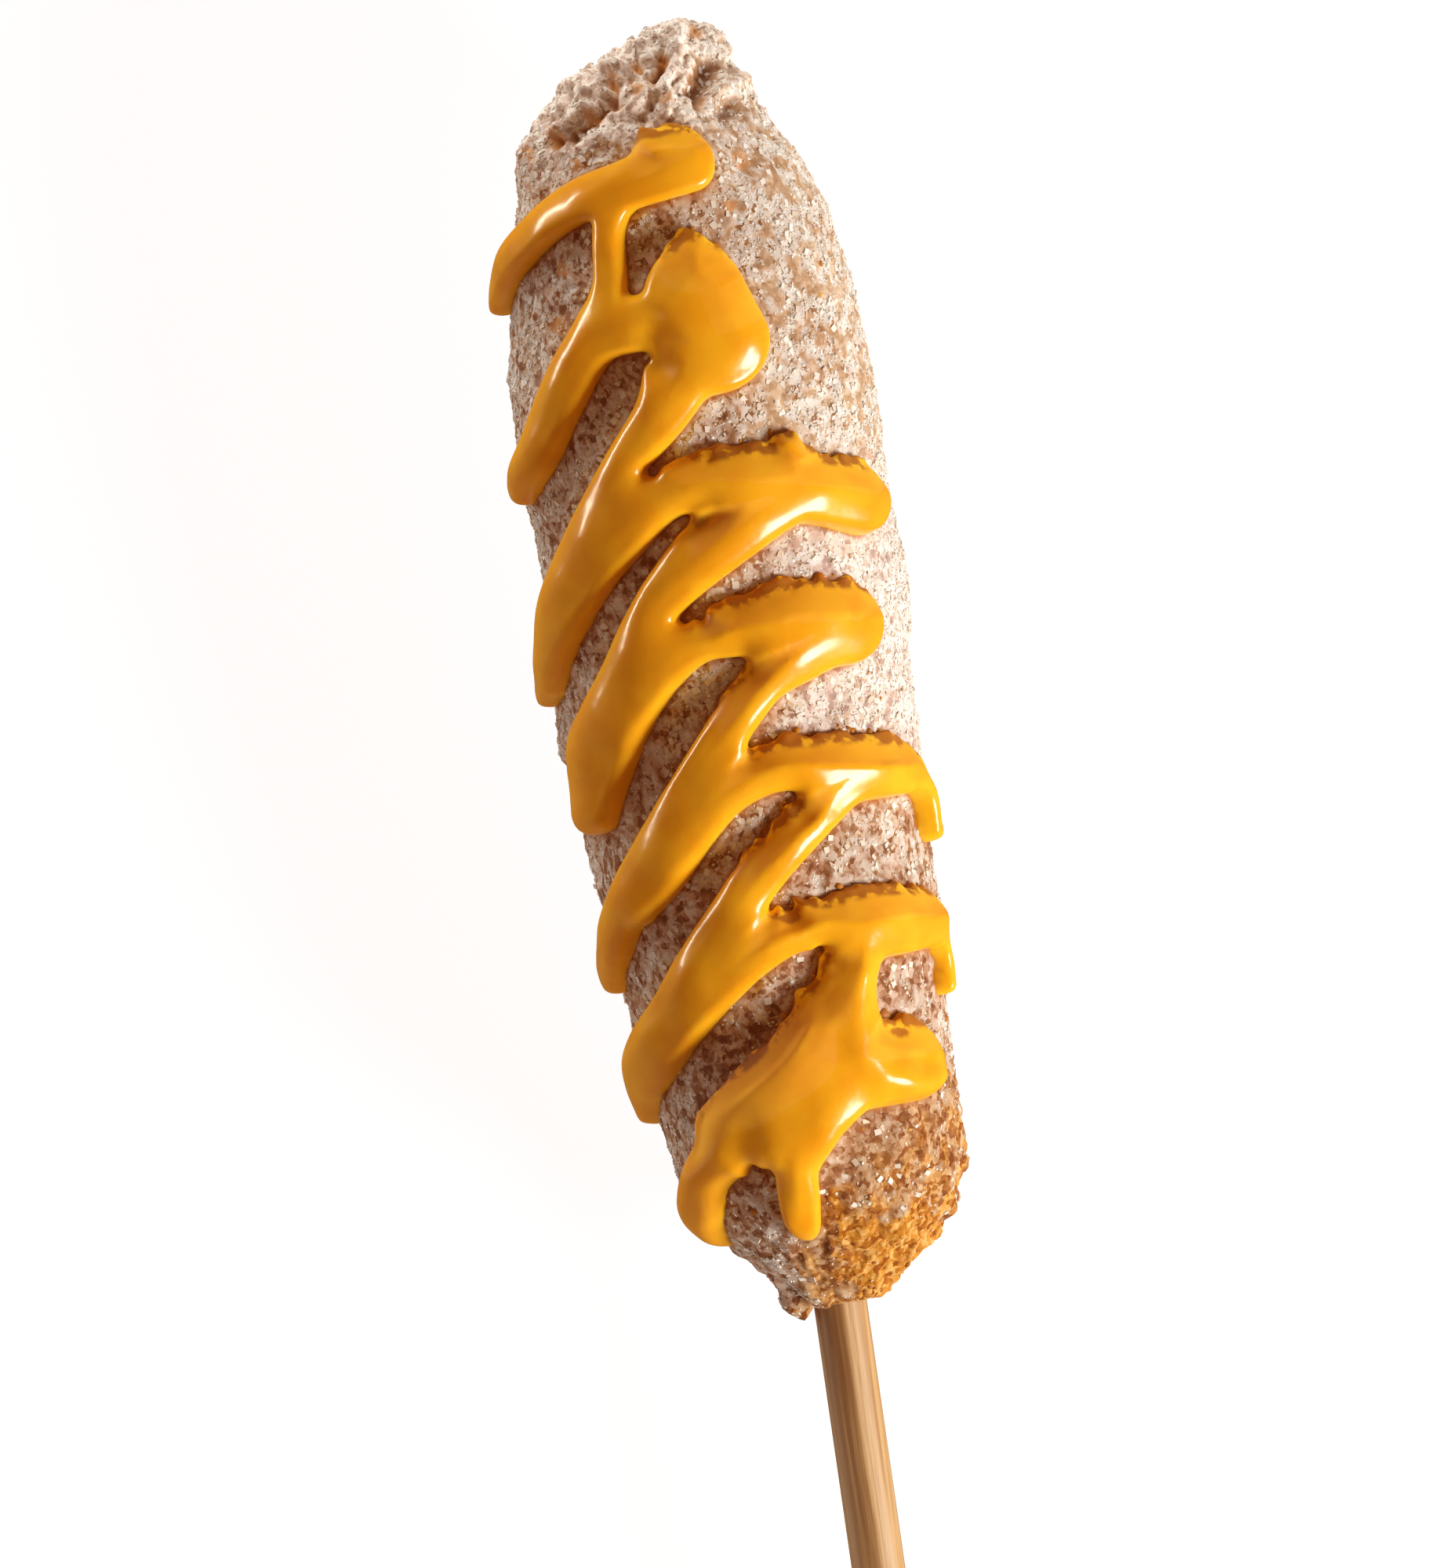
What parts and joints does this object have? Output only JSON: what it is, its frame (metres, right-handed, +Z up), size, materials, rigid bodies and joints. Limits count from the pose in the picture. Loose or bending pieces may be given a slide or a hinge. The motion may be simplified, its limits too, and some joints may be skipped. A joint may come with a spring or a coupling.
{
  "type": "corn dog",
  "caption": "Sugared, crumb-crusted corn dog on a round bamboo stick, lying on its side, with a thick zigzag drizzle of yellow sauce on top.",
  "frame": {"origin": "centre of the bounding box in plan, on the plane that the corn dog lies on", "axes": "+Y along the food towards its rounded tip, with the stick towards -Y; +Z up, out of the drizzled side; +X to the right when seen from above with the tip pointing away"},
  "size_m": [0.0454, 0.2396, 0.0456],
  "materials": {
    "crust": "fried batter rolled in crumbs and granulated sugar: rough, golden brown under white crystals",
    "sauce": "thick, wet, glossy yellow-orange cheese or mustard sauce",
    "stick": "bare bamboo with lengthwise grain, satin"
  },
  "bodies": {
    "root": {"crust": "crust", "sauce": "sauce", "stick": "stick"}
  },
  "joints": []
}
